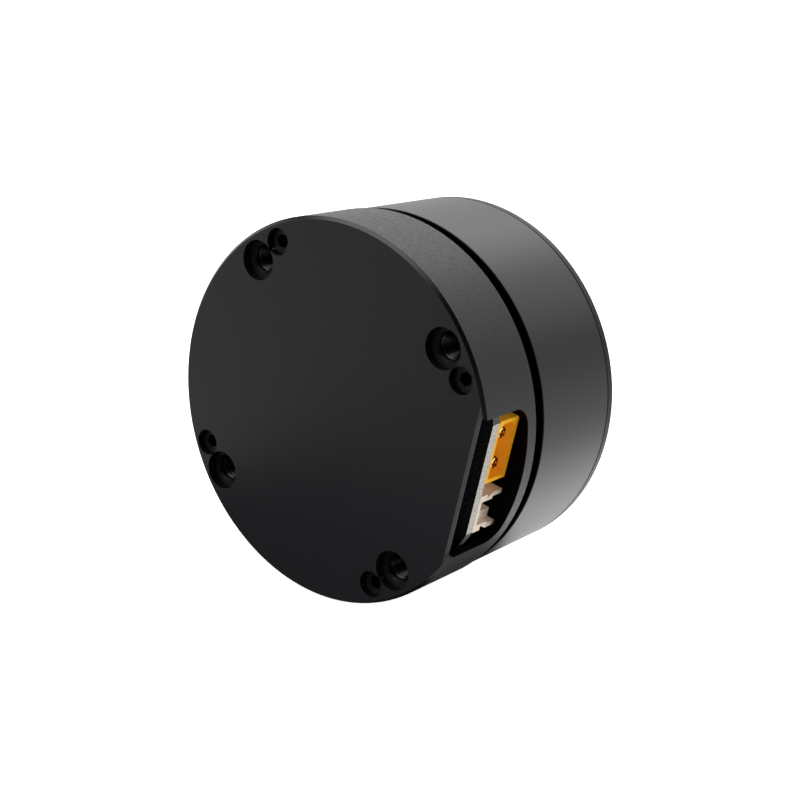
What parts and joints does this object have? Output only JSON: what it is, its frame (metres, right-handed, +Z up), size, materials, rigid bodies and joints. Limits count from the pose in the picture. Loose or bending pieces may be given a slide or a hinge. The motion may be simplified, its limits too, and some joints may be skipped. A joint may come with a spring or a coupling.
{
  "type": "direct drive servo motor",
  "caption": "Flat round outer-rotor motor with a static rear housing, threaded rear mounting holes, a side connector window and a rotating front cover.",
  "frame": {"origin": "centre of the rear mounting face, on the shaft axis", "axes": "+Y along the shaft from the rear face towards the output face, +X out of the connector window, +Z up"},
  "size_m": [0.0604, 0.0354, 0.0604],
  "materials": {
    "blasted_aluminium": "black anodised after bead blasting, matte",
    "cover_aluminium": "black anodised, fine turned satin",
    "base_aluminium": "black anodised, as turned",
    "yoke_steel": "black plated, smooth satin",
    "screw_steel": "black oxide",
    "bearing_steel": "ground and polished",
    "lamination_steel": "varnished stamped edges",
    "copper_winding": "enamelled copper wire",
    "magnet_nickel": "nickel plated",
    "board_laminate": "glass fibre laminate, bare at its edge",
    "chip_black": "moulded epoxy",
    "amber_nylon": "moulded, semi-gloss",
    "cream_nylon": "moulded, satin",
    "insulator_nylon": "moulded",
    "gilt_brass": "gold plated"
  },
  "bodies": {
    "stator": {"rear_housing": "blasted_aluminium", "housing_screws": "screw_steel", "driver_board": "board_laminate", "board_screws": "screw_steel", "encoder_chip": "chip_black", "controller_chip": "chip_black", "gate_driver": "chip_black", "power_transistors": "chip_black", "bulk_capacitors": "chip_black", "transceiver_chips": "chip_black", "power_connector": "amber_nylon", "power_pins": "gilt_brass", "signal_connector": "cream_nylon", "signal_pins": "gilt_brass", "stator_base": "base_aluminium", "stator_core": "lamination_steel", "rear_insulator": "insulator_nylon", "front_insulator": "insulator_nylon", "stator_coils": "copper_winding", "phase_leads": "copper_winding", "rear_bearing_outer_ring": "bearing_steel", "rear_bearing_shields": "bearing_steel", "front_bearing_outer_ring": "bearing_steel", "front_bearing_shields": "bearing_steel"},
    "rotor": {"rotor_yoke": "yoke_steel", "rotor_magnets": "magnet_nickel", "front_cover": "cover_aluminium", "rotor_shaft": "bearing_steel", "encoder_magnet": "magnet_nickel", "retaining_ring": "screw_steel", "spring_washer": "screw_steel", "rear_bearing_inner_ring": "bearing_steel", "front_bearing_inner_ring": "bearing_steel"},
    "rear_ball_set": {"rear_bearing_balls": "bearing_steel", "rear_bearing_cage": "insulator_nylon"},
    "front_ball_set": {"front_bearing_balls": "bearing_steel", "front_bearing_cage": "insulator_nylon"}
  },
  "joints": [
    {"name": "rotor_spin", "type": "hinge", "parent": "stator", "child": "rotor", "pos_m": [0, 0, 0], "axis": [0, 1, 0], "continuous": true},
    {"name": "rear_cage_spin", "type": "hinge", "parent": "stator", "child": "rear_ball_set", "pos_m": [0, 0.0147, 0], "axis": [0, 1, 0], "continuous": true},
    {"name": "front_cage_spin", "type": "hinge", "parent": "stator", "child": "front_ball_set", "pos_m": [0, 0.029, 0], "axis": [0, 1, 0], "continuous": true}
  ],
  "couplings": [
    {"joint": "rear_cage_spin", "follows": "rotor_spin", "ratio": 0.36963},
    {"joint": "front_cage_spin", "follows": "rotor_spin", "ratio": 0.36963}
  ]
}
